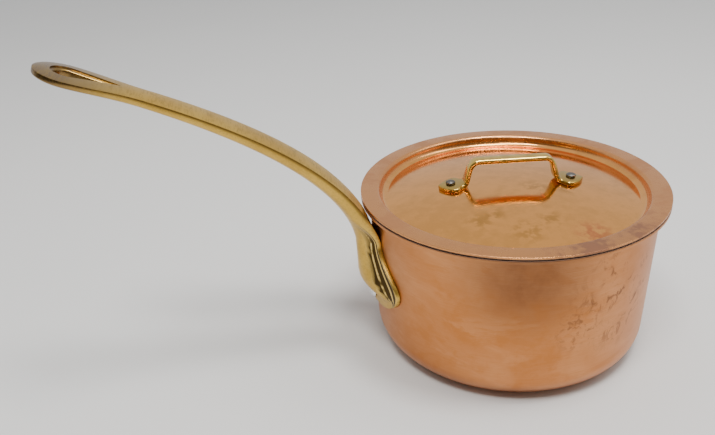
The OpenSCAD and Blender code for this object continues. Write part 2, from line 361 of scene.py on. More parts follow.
@dataclass(frozen=True)
class LidCopper:
    """Polished panel with faint stains, and a flange brushed and darkened by handling.

    The handled and the reddened place are balls, as centre and radius in metres, and the marks
    are places on the panel with their radii.
    """

    panel: Colour = (0.86, 0.385, 0.105)
    flange: Colour = (0.71, 0.315, 0.115)
    tarnish: Colour = (0.30, 0.135, 0.085)
    stain: Colour = (0.50, 0.23, 0.05)
    red: Colour = (0.62, 0.17, 0.07)
    flange_from: float = 0.0845
    flange_to: float = 0.0880
    handled: Ball = ((0.022, -0.094, 0.110), 0.060)
    reddened: Ball = ((0.023, -0.072, 0.107), 0.017)
    panel_z: float = 0.109
    marks: tuple[tuple[Point, float], ...] = (
        ((-0.037, -0.042), 0.012), ((-0.026, -0.038), 0.010), ((-0.014, -0.060), 0.016),
        ((0.004, -0.052), 0.012), ((0.012, -0.012), 0.013), ((0.030, -0.020), 0.009))

    def material(self) -> bpy.types.Material:
        """Builds the material.

        Returns:
            The material.
        """
        b = Board("lid_copper")
        reach = (b.x * b.x + b.y * b.y) ** 0.5
        rim = reach.rise(self.flange_from, self.flange_to)
        turn = b.y.angle_from(b.x)
        rings = b.noise(b.join(turn * 0.8, reach * 700.0, 0.0), 1.0, 4.0, 0.7)
        cross = b.noise(b.join(turn * 90.0, reach * 24.0, 0.0), 1.0, 4.0, 0.7)
        cloud = b.noise(b.place, 26.0, 5.0, 0.6, 0.5)
        fine = b.noise(b.place, 150.0, 4.0, 0.6)
        worn = (cloud * 0.65 + fine * 0.35).rise(0.46, 0.60)
        front = b.spot(*self.handled, 0.8)
        dark = (worn * (0.35 + front * 0.9) + front * 0.25 + cross.rise(0.5, 0.75) * 0.25) * rim
        colour = b.tint(rim, self.panel, self.flange)
        colour = b.tint(dark.limit() * 0.8, colour, self.tarnish)
        inside = 1.0 - rim
        stains = self._stains(b, fine)
        colour = b.tint((stains * inside).limit() * 0.85, colour, self.stain)
        blush = b.spot(*self.reddened, 0.8) * fine.rise(0.38, 0.58)
        colour = b.tint(blush * inside * 0.8, colour, self.red)
        haze = (cloud * 0.6 + fine * 0.4).rise(0.40, 0.62)
        colour = b.tint(haze * inside * 0.35, colour, self.stain)
        rough = 0.105 + haze * 0.07 + stains * 0.10 + rim * (0.13 + worn * 0.12)
        height = rings * 0.6 + cross * rim * 0.5
        return b.finish({
            "Base Color": colour, "Metallic": 1.0, "Roughness": rough,
            "Normal": b.bump(height, 0.000012, 0.5)})

    def _stains(self, b: Board, fine: Value) -> Value:
        """Brown water marks scattered in front of the bow.

        Args:
            b: The board of the copper.
            fine: Noise that breaks the marks up.

        Returns:
            The mask, from 0 to 1.
        """
        total: Number = 0.0
        for (x, y), radius in self.marks:
            total = b.spot((x, y, self.panel_z), radius, 0.95) + total
        return (total * fine.rise(0.42, 0.60)).limit()


@dataclass(frozen=True)
class LiningSteel:
    """Stainless lining, turned in fine rings, with a brown film on the edge of its rim."""

    light: Colour = (0.66, 0.66, 0.64)
    dull: Colour = (0.50, 0.49, 0.47)
    film: Colour = (0.26, 0.12, 0.06)
    film_from: float = 0.0990
    film_to: float = 0.0996

    def material(self) -> bpy.types.Material:
        """Builds the material.

        Returns:
            The material.
        """
        b = Board("lining_steel")
        reach = (b.x * b.x + b.y * b.y) ** 0.5
        turn = b.y.angle_from(b.x)
        rings = b.noise(b.join(turn * 0.7, (reach + b.z) * 900.0, 0.0), 1.0, 4.0, 0.7)
        cloud = b.noise(b.place, 20.0, 4.0, 0.6)
        colour = b.tint(cloud.rise(0.4, 0.65) * 0.6, self.light, self.dull)
        film = reach.rise(self.film_from, self.film_to)
        colour = b.tint(film * 0.9, colour, self.film)
        rough = 0.24 + rings * 0.14 + cloud * 0.06 + film * 0.2
        return b.finish({
            "Base Color": colour, "Metallic": 1.0, "Roughness": rough,
            "Anisotropic": 0.4, "Normal": b.bump(rings, 0.00002, 0.5)})


@dataclass(frozen=True)
class HandleBrass:
    """Cast brass: linished across its faces, polished in the flutes, brown at the loop.

    The dark reflections of the flutes, with their bright lamp streaks and glints, and a dark reflected line
    along the edges of the top face, are painted into the colour.
    """

    gold: Colour = (0.66, 0.42, 0.085)
    deep: Colour = (0.50, 0.29, 0.05)
    brown: Colour = (0.20, 0.125, 0.06)
    score: Colour = (0.36, 0.22, 0.045)
    # line: the painted dark reflection along the edges of the top face.
    line: Colour = (0.13, 0.07, 0.02)
    # bright: the flutes' polished colour, which shows through as painted lamp streaks; dark: the painted
    # dark reflection in the flutes.
    bright: Colour = (0.86, 0.60, 0.20)
    dark: Colour = (0.055, 0.033, 0.010)
    loop_from: float = -0.215
    loop_to: float = -0.268

    def material(self) -> bpy.types.Material:
        """Builds the material.

        Returns:
            The material.
        """
        b = Board("handle_brass")
        flute = b.painted("flute")
        top = b.painted("top_face")
        # Mask of the painted dark reflection along the top face's edges.
        edge_reflection = b.painted("edge_reflection").rise(0.35, 0.95)
        grain = b.noise(b.stretch(b.place, (850.0, 90.0, 850.0)), 1.0, 4.0, 0.75)
        along = b.noise(b.stretch(b.place, (60.0, 900.0, 60.0)), 1.0, 3.0, 0.7)
        cloud = b.noise(b.place, 28.0, 4.0, 0.6, 0.4)
        fine = b.noise(b.place, 210.0, 4.0, 0.6)
        tip = b.x.rise(self.loop_from, self.loop_to)
        colour = b.tint(cloud.rise(0.40, 0.66) * 0.5, self.gold, self.deep)
        # Painted reflection in the flutes: dark across each flute, with painted lamp streaks and glints
        # where the polished colour shows through.
        across = b.painted("across") + (cloud - 0.5) * 0.18
        flute_dark_reflection = across.rise(-0.04, 0.10) * across.rise(1.00, 0.90)
        painted_glint = across.rise(0.26, 0.31) * across.rise(0.40, 0.35) * fine.rise(0.35, 0.60)
        lamp_streak_highlight = across.rise(0.62, 0.66) * across.rise(0.76, 0.71) + painted_glint
        colour = b.tint(flute, colour, self.bright)
        colour = b.tint((flute * flute_dark_reflection * (1.0 - lamp_streak_highlight * 0.85)).limit(), colour, self.dark)
        aged = tip * (0.45 + cloud * 0.6 + fine * 0.5)
        colour = b.tint(aged.limit() * 0.92, colour, self.brown)
        # Painted reflection: a dark line along the edges of the top face.
        colour = b.tint(edge_reflection * 0.85, colour, self.line)
        scored = (grain * 0.7 + fine * 0.3).rise(0.47, 0.62) * (0.30 + top * 0.35)
        colour = b.tint(scored * (1.0 - flute), colour, self.score)
        satin = 0.24 + grain * 0.20 + top * 0.07 + cloud * 0.05
        rough = satin * (1.0 - flute) * (1.0 - tip * 0.35) + flute * 0.07
        height = grain * (1.0 - flute) + along * 0.25 * (1.0 - flute)
        return b.finish({
            "Base Color": colour, "Metallic": 1.0, "Roughness": rough,
            "Normal": b.bump(height, 0.00003, 0.5)})


@dataclass(frozen=True)
class PlainMetal:
    """A small polished or dull casting, a little worn, with shade painted low down when dark_from is set.

    Attributes:
        name: The material's name.
        colour: Its clean colour.
        worn: Its colour where it is dull, and where shade is painted.
        rough: Its lowest roughness.
        grit: How much rougher the dull places are.
        scale: Frequency of the wear.
        dark_from: Height below which the painted shade is strongest, in metres.
        dark_to: Height above which no shade is painted.
    """

    name: str
    colour: Colour
    worn: Colour
    rough: float
    grit: float
    scale: float
    dark_from: float = -1.0
    dark_to: float = -0.9

    def material(self) -> bpy.types.Material:
        """Builds the material.

        Returns:
            The material.
        """
        b = Board(self.name)
        cloud = b.noise(b.place, self.scale, 4.0, 0.6, 0.4)
        fine = b.noise(b.stretch(b.place, (900.0, 120.0, 900.0)), 1.0, 3.0, 0.7)
        wear_and_shade = (cloud * 0.7 + fine * 0.3).rise(0.42, 0.64)
        # Painted shade low down: on the bow, where its legs meet the lid.
        low = b.z.rise(self.dark_to, self.dark_from) * 0.75
        wear_and_shade = (wear_and_shade + low).limit()
        return b.finish({
            "Base Color": b.tint(wear_and_shade * 0.6, self.colour, self.worn), "Metallic": 1.0,
            "Roughness": self.rough + wear_and_shade * self.grit + fine * 0.05,
            "Normal": b.bump(fine, 0.000015, 0.4)})


@dataclass(frozen=True)
class Backdrop:
    """The matt paper that the pan stands on."""

    colour: Colour = (0.74, 0.735, 0.725)

    def material(self) -> bpy.types.Material:
        """Builds the material.

        Returns:
            The material.
        """
        b = Board("studio_paper")
        cloud = b.noise(b.place, 3.0, 2.0)
        darker = tuple(c * 0.96 for c in self.colour)
        return b.finish({"Base Color": b.tint(cloud, self.colour, darker), "Roughness": 0.75})


# --- meshes ---------------------------------------------------------------------------------


def clamp01(t: float) -> float:
    """The value held between 0 and 1."""
    return min(1.0, max(0.0, t))


def ease(t: float) -> float:
    """A smooth step from 0 to 1."""
    c = clamp01(t)
    return c * c * (3 - 2 * c)


def mix(a: float, b: float, t: float) -> float:
    """The value a share t of the way from a to b."""
    return a + (b - a) * t


def arc(centre: Point, radius: float, start: float, end: float, steps: int = 24) -> list[Point]:
    """Points along an arc between two angles in degrees, one more than its steps."""
    angles = [math.radians(mix(start, end, i / steps)) for i in range(steps + 1)]
    return [(centre[0] + radius * math.cos(a), centre[1] + radius * math.sin(a)) for a in angles]


def softened(outline: Sequence[Point], radius: float, sharpest: float = 40.0,
             steps: int = 4) -> list[Point]:
    """Rounds the corners of a closed outline.

    Args:
        outline: The outline's points.
        radius: The rounding's largest cut back from a corner.
        sharpest: Turns below this many degrees are left as they are.
        steps: Points in each rounding, less one.

    Returns:
        The rounded outline.
    """
    done: list[Point] = []
    count = len(outline)
    for i, point in enumerate(outline):
        here = Vector(point)
        before, after = Vector(outline[i - 1]) - here, Vector(outline[(i + 1) % count]) - here
        if before.length < SAME_POINT or after.length < SAME_POINT:
            continue
        turn = 180.0 - math.degrees(before.angle(after))
        if turn < sharpest or here.x < ON_AXIS:
            done.append(point)
            continue
        cut = min(radius, before.length * 0.45, after.length * 0.45)
        first, last = here + before.normalized() * cut, here + after.normalized() * cut
        for k in range(steps + 1):
            t = k / steps
            mid = first * (1 - t) ** 2 + here * (2 * t * (1 - t)) + last * t * t
            done.append((mid.x, mid.y))
    return done


def new_object(name: str, mesh: bpy.types.Mesh) -> bpy.types.Object:
    """Links a mesh into the scene as a new object.

    Args:
        name: The object's name.
        mesh: Its mesh.

    Returns:
        The object.
    """
    made = bpy.data.objects.new(name, mesh)
    bpy.context.scene.collection.objects.link(made)
    return made


def skinned(name: str, rings: Sequence[Sequence[Vector]], masks: dict[str, list[float]] | None = None,
            smooth_below: float = SMOOTH_BELOW) -> bpy.types.Object:
    """Closes a row of rings into a solid.

    Args:
        name: The object's name.
        rings: Rings of points in metres, all with the same count.
        masks: Named values for each point, ring after ring.
        smooth_below: Edges that turn less than this many degrees are shaded smooth.

    Returns:
        The object.
    """
    count = len(rings[0])
    points = [p for ring in rings for p in ring]
    faces = []
    for j in range(0, count * (len(rings) - 1), count):
        faces += [(j + i, j + count + i, j + count + (i + 1) % count, j + (i + 1) % count)
                  for i in range(count)]
    last = (len(rings) - 1) * count
    faces.append(tuple(range(count)))
    faces.append(tuple(last + i for i in reversed(range(count))))
    mesh = bpy.data.meshes.new(name)
    mesh.from_pydata([tuple(p) for p in points], [], faces)
    for key, values in (masks or {}).items():
        layer = mesh.attributes.new(key, "FLOAT", "POINT")
        layer.data.foreach_set("value", values)
    tidy(mesh, smooth_below)
    return new_object(name, mesh)


def tidy(mesh: bpy.types.Mesh, smooth_below: float = SMOOTH_BELOW) -> None:
    """Points a mesh's normals outward and shades it smooth between its hard edges.

    Args:
        mesh: The mesh, changed in place.
        smooth_below: Edges that turn less than this many degrees are smooth.
    """
    work = bmesh.new()
    work.from_mesh(mesh)
    bmesh.ops.recalc_face_normals(work, faces=work.faces)
    for face in work.faces:
        face.smooth = True
    for edge in work.edges:
        edge.smooth = len(edge.link_faces) == 2 and edge.calc_face_angle(0.0) < math.radians(smooth_below)
    work.to_mesh(mesh)
    work.free()


def turned(name: str, outline: Sequence[Point], turns: int = 256,
           place: Matrix = Matrix.Identity(4)) -> bpy.types.Object:
    """Spins a closed outline round its own upright axis.

    Args:
        name: The object's name.
        outline: Points (radius, height) in millimetres; a radius of 0 is on the axis.
        turns: Number of flats round the axis.
        place: Where the axis goes, in metres.

    Returns:
        The object.
    """
    work = bmesh.new()
    rings: list[list[bmesh.types.BMVert]] = []
    for r, z in outline:
        if r < ON_AXIS:
            rings.append([work.verts.new((0, 0, z * MM))] * turns)
            continue
        angles = [2 * math.pi * k / turns for k in range(turns)]
        rings.append([work.verts.new((r * MM * math.cos(a), r * MM * math.sin(a), z * MM)) for a in angles])
    for i, ring in enumerate(rings):
        after = rings[(i + 1) % len(rings)]
        for k in range(turns):
            n = (k + 1) % turns
            corners = list(dict.fromkeys((ring[k], ring[n], after[n], after[k])))
            if len(corners) > 2:
                work.faces.new(corners)
    bmesh.ops.transform(work, matrix=place, verts=work.verts)
    mesh = bpy.data.meshes.new(name)
    work.to_mesh(mesh)
    work.free()
    tidy(mesh)
    return new_object(name, mesh)


def cut_away(target: bpy.types.Object, tool: bpy.types.Object) -> None:
    """Takes one solid out of another and deletes the cutter.

    Args:
        target: The solid that is cut.
        tool: The cutter.
    """
    modifier = target.modifiers.new("cut", "BOOLEAN")
    modifier.operation, modifier.object, modifier.solver = "DIFFERENCE", tool, "EXACT"
    graph = bpy.context.evaluated_depsgraph_get()
    result = bpy.data.meshes.new_from_object(target.evaluated_get(graph), preserve_all_data_layers=True,
                                             depsgraph=graph)
    target.modifiers.remove(modifier)
    target.data = result
    bpy.data.objects.remove(tool)
    tidy(result)


def domed(diameter: float, height: float, side: float, shank: float, length: float) -> list[Point]:
    """Outline of a rivet: its shank below 0 and its domed head above.

    Args:
        diameter: The head's diameter.
        height: The head's whole height.
        side: Height of the head's upright side under the dome.
        shank: The shank's diameter.
        length: The shank's length.

    Returns:
        A closed outline.
    """
    half, rise = diameter / 2, height - side
    ball = (half * half + rise * rise) / (2 * rise)
    wide = math.degrees(math.asin(half / ball))
    dome = arc((0.0, height - ball), ball, 90.0 - wide, 90.0, 18)
    body = [(0.0, -length), (shank / 2, -length), (shank / 2, 0.0), (half, 0.0), (half, side)]
    return softened(body + dome[:-1] + [(0.0, height)], 0.7, 25.0)


def dress(piece: bpy.types.Object, finish: bpy.types.Material, body: Body,
          nodes: Iterable[str]) -> bpy.types.Object:
    """Gives a piece its finish and its body, and stands it in for its CAD nodes.

    Args:
        piece: The piece.
        finish: Its material.
        body: The body that carries it.
        nodes: The CAD nodes that it stands in for.

    Returns:
        The piece.
    """
    piece.data.materials.clear()
    piece.data.materials.append(finish)
    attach(piece, body.value)
    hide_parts(*nodes)
    LOG.info("%s: %d faces on %s", piece.name, len(piece.data.polygons), body.value)
    return piece


# --- pan ------------------------------------------------------------------------------------


@dataclass(frozen=True)
class Pan:
    """The spun copper body and its lining.

    Attributes:
        height: Height to the top of the lip.
        lip_r: Radius of the lip.
    """

    height: float
    lip_r: float
    lip_reach: float = 5.5
    base_d: float = 144.0
    corner_r: float = 20.0
    flare_r: float = 3.5
    copper_t: float = 1.6
    lining_t: float = 0.4

    @property
    def wall_t(self) -> float:
        """Thickness of copper and lining together."""
        return self.copper_t + self.lining_t

    @property
    def corner(self) -> Point:
        """Centre of the base corner."""
        return (self.base_d / 2, self.corner_r)

    @property
    def flare(self) -> Point:
        """Centre of the flare under the lip."""
        return (self.lip_r - self.lip_reach + self.flare_r, self.height - self.wall_t - self.flare_r)

    @property
    def lean(self) -> float:
        """Direction of the wall's outward normal, in degrees.

        Returns:
            The angle in degrees.
        """
        dx, dz = self.flare[0] - self.corner[0], self.flare[1] - self.corner[1]
        span = math.hypot(dx, dz)
        return math.degrees(math.atan2(dz, dx) - math.acos((self.corner_r + self.flare_r) / span))

    def wall_r(self, z: float) -> float:
        """Radius of the wall's outer face at a height.

        Args:
            z: The height.

        Returns:
            The radius.
        """
        a = math.radians(self.lean)
        foot = (self.corner[0] + self.corner_r * math.cos(a), self.corner[1] + self.corner_r * math.sin(a))
        top = (self.flare[0] - self.flare_r * math.cos(a), self.flare[1] - self.flare_r * math.sin(a))
        return foot[0] + (z - foot[1]) * (top[0] - foot[0]) / (top[1] - foot[1])

    def line(self, depth: float) -> list[Point]:
        """The wall's outer outline moved in by a depth, from the axis to the lip.

        Args:
            depth: Distance in from the outer face.

        Returns:
            The outline.
        """
        return ([(0.0, depth)]
                + arc(self.corner, self.corner_r - depth, -90.0, self.lean)
                + arc(self.flare, self.flare_r + depth, 180.0 + self.lean, 90.0)
                + [(self.lip_r, self.flare[1] + self.flare_r + depth)])

    def layer(self, name: str, near: float, far: float) -> bpy.types.Object:
        """One closed layer of the wall between two depths."""
        return turned(name, softened(self.line(near) + self.line(far)[::-1], 0.3))

    def build(self, copper: bpy.types.Material, steel: bpy.types.Material) -> None:
        """Makes the copper body and the lining.

        Args:
            copper: Finish of the body.
            steel: Finish of the lining.
        """
        dress(self.layer("pan_copper", 0.0, self.copper_t), copper, Body.PAN, ["pan_shell"])
        dress(self.layer("pan_inner_lining", self.copper_t, self.wall_t), steel, Body.PAN,
              ["pan_lining"])


# --- long handle ----------------------------------------------------------------------------


@dataclass(frozen=True)
class Station:
    """One cross-section of the long handle.

    Attributes:
        point: Radius and height of its inner face.
        out: Direction out of that face, in the handle's plane.
        half: Half its width.
        thick: Its thickness.
        foot: Share of the foot's shape, from 0 on the stem to 1 on the foot.
        face: Half width of the foot's outer face.
        fade: Share of the crown and belly that is left towards the loop's end.
    """

    point: Vector
    out: Vector
    half: float
    thick: float
    foot: float
    face: float
    fade: float = 1.0


@dataclass(frozen=True)
class LongHandle:
    """The cast brass handle, its hanging eye and its three rivets.

    Attributes:
        pan: The pan that it is riveted to.
        reach: Distance of its tip past the lip.
        rise: Height of its tip above the lip.
    """

    pan: Pan
    reach: float = 176.5
    rise: float = 110.0
    loop_slope: float = 23.0
    lip_gap: float = 0.6
    lean_gain: float = 1.4
    lean_ease: float = 0.0126686
    bend_pull: float = 52.0
    end_pull: float = 84.0
    stem_w: float = 22.0
    stem_t: float = 5.4
    neck_w: float = 28.0
    neck_t: float = 12.8
    stem_crown: float = 1.5
    gap: float = 0.2
    foot_drop: float = 70.0
    lobe_h: float = 17.5
    foot_h: float = 48.0
    foot_w: float = 68.0
    foot_t: float = 3.5
    face_half: float = 8.5
    foot_crown: float = 4.0
    loop_r: float = 17.8
    eye_r: float = 7.0
    eye_tail: float = 25.0
    loop_blend: float = 41.0
    rivet_d: float = 6.0
    low_rivet_h: float = 6.2
    up_rivet_h: float = 40.0
    up_rivet_gap: float = 13.0
    blind_depth: float = 4.5
    seat_d: float = 11.4
    head_d: float = 10.4
    dome_h: float = 3.4
    inner_head_h: float = 1.8
    face_top: float = 5.0
    face_rest: float = 17.0
    edge_share: float = 0.8
    side_share: float = 0.45
    edge_reflection_w: float = 0.75
    eye_ease: float = 1.3
    eye_nose: float = 1.2
    seat_h: float = 6.0
    seat_rise: float = 12.0
    seat_flare: float = 3.0
    side_steps: int = 26

    @property
    def foot_z(self) -> float:
        """Height of the foot's lowest point."""
        return self.pan.height - self.foot_drop

    @property
    def lobe_z(self) -> float:
        """Height of the foot's widest place."""
        return self.foot_z + self.lobe_h

    @property
    def neck_z(self) -> float:
        """Height where the foot becomes the stem."""
        return self.foot_z + self.foot_h

    @property
    def low_z(self) -> float:
        """Height of the lower rivet."""
        return self.foot_z + self.low_rivet_h

    @property
    def neck_lean(self) -> float:
        """Lean of the stem as it leaves the foot, in degrees: steep enough to clear the lip.

        Returns:
            The lean.
        """
        run = self.pan.height - self.pan.wall_t - self.neck_z
        step = self.pan.lip_r + self.lip_gap - self.pan.wall_r(self.neck_z) - self.gap
        return math.degrees(math.atan(self.lean_gain * step / run - self.lean_ease * run))

    @property
    def loop_dir(self) -> Vector:
        """Direction of the loop in the handle's plane."""
        a = math.radians(self.loop_slope)
        return Vector((math.cos(a), math.sin(a)))

    @property
    def eye_centre(self) -> Vector:
        """Centre of the hanging eye's round end, as radius and height."""
        tip = Vector((self.pan.lip_r + self.reach, self.pan.height + self.rise))
        return tip - self.loop_dir * self.loop_r

    @property
    def curve(self) -> list[Vector]:
        """Control points of the stem's centre line.

        Returns:
            Four points, as radius and height.
        """
        a = math.radians(self.neck_lean)
        start = Vector((self.pan.wall_r(self.neck_z) + self.gap + self.neck_t / 2, self.neck_z))
        end = self.eye_centre
        return [start, start + Vector((math.sin(a), math.cos(a))) * self.bend_pull,
                end - self.loop_dir * self.end_pull, end]

    def foot_half(self, z: float) -> float:
        """Half width of the foot at a height.

        Args:
            z: The height.

        Returns:
            Half the width.
        """
        if z < self.lobe_z:
            return self.foot_w / 2 * math.sqrt(max(0.0, 1 - ((self.lobe_z - z) / self.lobe_h) ** 2))
        return mix(self.foot_w / 2, self.neck_w / 2, ease((z - self.lobe_z) / (self.neck_z - self.lobe_z)))

    def foot_thick(self, z: float) -> float:
        """Thickness of the foot at a height."""
        up = clamp01((z - self.low_z - self.rivet_d / 2) / self.lobe_h)
        return mix(self.foot_t, self.neck_t, 1 - (1 - up) ** 3)

    def face_at(self, z: float) -> float:
        """Half width of the foot's outer face at a height.

        Args:
            z: The height.

        Returns:
            Half the face's width.
        """
        down = clamp01((self.neck_z - z - self.face_top) / (self.foot_h - self.face_rest))
        flared = self.face_half + (self.foot_w - self.neck_w) / 2 * down ** 2
        return min(self.foot_half(z) - 0.4, flared)

    def foot_station(self, z: float) -> Station:
        """The section of the foot at a height.

        Args:
            z: The height.

        Returns:
            The station.
        """
        point = Vector((self.pan.wall_r(z) + self.gap, z))
        out = Vector((1.0, 0.0))
        return Station(point, out, self.foot_half(z), self.foot_thick(z), 1.0, self.face_at(z))

    def stem_station(self, t: float) -> Station:
        """The section of the stem a share t along its centre line.

        Args:
            t: Share of the way, from 0 at the neck to 1 at the eye.

        Returns:
            The station.
        """
        p, s = self.curve, 1 - t
        here = p[0] * s ** 3 + p[1] * (3 * s * s * t) + p[2] * (3 * s * t * t) + p[3] * t ** 3
        way = ((p[1] - p[0]) * s * s + (p[2] - p[1]) * (2 * s * t) + (p[3] - p[2]) * t * t).normalized()
        out = Vector((way.y, -way.x))
        thick = mix(self.neck_t, self.stem_t, clamp01(t * 1.05) ** 0.7)
        plain = mix(self.neck_w, self.stem_w, t) / 2
        half = mix(plain, self.loop_r, 1 - ease((here - p[3]).length / self.loop_blend))
        return Station(here - out * thick / 2, out, half, thick, 1 - ease(t * 7), self.face_half)

    def loop_station(self, angle: float) -> Station:
        """The section of the loop's round end, angle degrees past its centre.

        Args:
            angle: The angle in degrees, from 0 beside the eye's centre to 90 at the tip.

        Returns:
            The station.
        """
        a = math.radians(angle)
        out = Vector((self.loop_dir.y, -self.loop_dir.x))
        here = self.eye_centre + self.loop_dir * (self.loop_r * math.sin(a))
        return Station(here - out * self.stem_t / 2, out, self.loop_r * math.cos(a), self.stem_t, 0.0,
                       self.face_half, math.cos(a))

    def stations(self) -> list[Station]:
        """All sections, from the bottom of the foot to the loop's end.

        Returns:
            The stations, in order.
        """
        low = [self.foot_station(self.lobe_z - self.lobe_h * math.cos(math.radians(a)))
               for a in (5, 9, 14, 20, 27, 35, 44, 53, 62, 71, 80)]
        flank = [self.foot_station(mix(self.lobe_z, self.neck_z, i / 32)) for i in range(33)]
        stem = [self.stem_station(i / 110) for i in range(1, 111)]
        loop = [self.loop_station(a) for a in (8, 16, 24, 32, 40, 48, 55, 62, 68, 73, 78, 82, 85)]
        return low + flank + stem + loop

    def inner_at(self, s: Station, y: float) -> float:
        """Height of the inner face over a station's point, at side offset y.

        Args:
            s: The station.
            y: Side offset.

        Returns:
            The height.
        """
        round_wall = math.sqrt(s.point.x ** 2 - y * y) - s.point.x
        crown = -self.stem_crown * (1 - (y / s.half) ** 2) * s.fade
        return mix(crown, round_wall, s.foot)

    def outer_at(self, s: Station, y: float) -> float:
        """Height of the outer face over a station's point, at side offset y.

        Args:
            s: The station.
            y: Side offset.

        Returns:
            The height.
        """
        belly = math.sqrt(max(0.0, 1 - (y / s.half) ** 2)) * s.fade
        stem = mix(s.thick * self.side_share, s.thick, belly)
        edge = min(self.foot_t, s.thick) * self.edge_share
        face = max(edge, s.thick - self.foot_crown)
        v = clamp01((abs(y) - s.face) / max(0.01, s.half - s.face))
        if abs(y) <= s.face:
            foot = s.thick - (s.thick - face) * (y / s.face) ** 2
        else:
            foot = edge + (face - edge) * (1 - v) ** 2
        return mix(stem, foot + math.sqrt(s.point.x ** 2 - y * y) - s.point.x, s.foot)

    def section(self, s: Station) -> tuple[list[Vector], dict[str, list[float]]]:
        """Points of one section and the masks that they carry.

        Args:
            s: The station.

        Returns:
            The points in metres, and for each mask one value a point.
        """
        steps = self.side_steps
        sides = [-s.half * math.cos(math.pi * i / steps) for i in range(steps + 1)]
        outer = [(self.outer_at(s, y), y) for y in sides]
        inner = [(self.inner_at(s, y), y) for y in reversed(sides)]
        trim = min(0.55, s.half * 0.2)
        outer, inner = self._eased(outer, inner, trim)
        points, masks = [], {name: [] for name in MASKS}
        for line, is_top in ((outer, 0.0), (inner, 1.0)):
            for x, y in line:
                # The painted dark reflection runs along the top face's edges, on the stem and the loop.
                near_edge = clamp01(1 - (s.half - abs(y)) / self.edge_reflection_w) * is_top * (1 - s.foot)
                past_face = ease((abs(y) - s.face) / 1.2) * ease((s.half - abs(y) + 0.1) / 0.6)
                masks["top_face"].append(is_top)
                masks["edge_reflection"].append(near_edge)
                masks["flute"].append(past_face * (1 - is_top) * s.foot)
                masks["across"].append(clamp01((abs(y) - s.face) / max(0.01, s.half - s.face)))
                r, z = s.point.x + s.out.x * x, s.point.y + s.out.y * x
                points.append(Vector((-r, y, z)) * MM)
        return points, masks

    @staticmethod
    def _eased(outer: list[Point], inner: list[Point], trim: float) -> tuple[list[Point], list[Point]]:
        """Pulls the four corners of a section in a little, so that its edges are rounded.

        Args:
            outer: Points of the outer face, as height and side offset.
            inner: Points of the inner face.
            trim: How far the corners come in.

        Returns:
            Both faces.
        """
        for line, sign in ((outer, -1.0), (inner, 1.0)):
            for end in (0, -1):
                x, y = line[end]
                line[end] = (x + sign * trim * 0.55, y)
            for end in (1, -2):
                x, y = line[end]
                line[end] = (x + sign * trim * 0.18 * 0.30, y)
        return outer, inner

    def casting(self) -> bpy.types.Object:
        """The handle's casting with its eye and rivet seat cut.

        Returns:
            The casting.
        """
        rings, masks = [], {name: [] for name in MASKS}
        for s in self.stations():
            points, values = self.section(s)
            rings.append(points)
            for key, numbers in values.items():
                masks[key].extend(numbers)
        made = skinned("handle_casting", rings, masks)
        cut_away(made, self._eye_cutter())
        cut_away(made, self._seat_cutter())
        return made

    def _eye_cutter(self) -> bpy.types.Object:
        """A teardrop plug that widens at both faces, so that the eye's edges are rounded.

        Returns:
            The cutter.
        """
        slant = math.acos(self.eye_r / self.eye_tail)
        lip, reach = self.eye_ease, self.stem_t / 2
        heights = [-reach - 3.0] + [mix(-reach - 0.6, -reach + lip, i / 6) for i in range(7)]
        heights += [-h for h in reversed(heights)]
        frame_z = Vector((self.loop_dir.y, -self.loop_dir.x))
        rings = []
        for h in heights:
            inside = clamp01((reach - abs(h)) / lip)
            wider = lip * (1 - math.sqrt(max(0.0, 1 - (1 - inside) ** 2))) if abs(h) < reach else lip * 1.6
            ring = []
            for u, v in self._teardrop(slant, wider):
                flat = self.eye_centre - self.loop_dir * u + frame_z * h
                ring.append(Vector((-flat.x, v, flat.y)) * MM)
            rings.append(ring)
        return skinned("eye_cutter", rings)

    def _teardrop(self, slant: float, wider: float) -> list[Point]:
        """Outline of the eye, grown by a margin; u runs back along the stem.

        Args:
            slant: Angle from the tail to the ends of the round part, in radians.
            wider: The margin.

        Returns:
            A closed outline.
        """
        r = self.eye_r + wider
        tail = self.eye_tail + wider * 1.6
        turn = math.degrees(slant)
        round_end = arc((0.0, 0.0), r, turn, 360.0 - turn, 40)
        nose, last = self.eye_nose, round_end[-1]
        side = [(mix(last[0], tail - nose, t), mix(last[1], -nose * 0.35, t)) for t in (0.33, 0.66, 1.0)]
        back = [(x, -y) for x, y in reversed(side)]
        return round_end + side + [(tail, 0.0)] + back

    def _seat_cutter(self) -> bpy.types.Object:
        """The spot-face under the lower rivet's head.

        Returns:
            The cutter.
        """
        seat = self.pan.wall_r(self.low_z) + self.gap + self.foot_t
        half = self.seat_d / 2
        outline = [(0.0, 0.0), (half, 0.0), (half, self.seat_h),
                   (half + self.seat_flare, self.seat_rise), (0.0, self.seat_rise)]
        return turned("seat_cutter", outline, 64, self._outward(seat, 0.0, self.low_z))

    @staticmethod
    def _outward(r: float, y: float, z: float, inward: bool = False) -> Matrix:
        """Places an upright outline so that it points away from the pan's axis, or towards it."""
        turn = math.radians(90.0 if inward else -90.0)
        return Matrix.Translation(Vector((-r, y, z)) * MM) @ Matrix.Rotation(turn, 4, "Y")

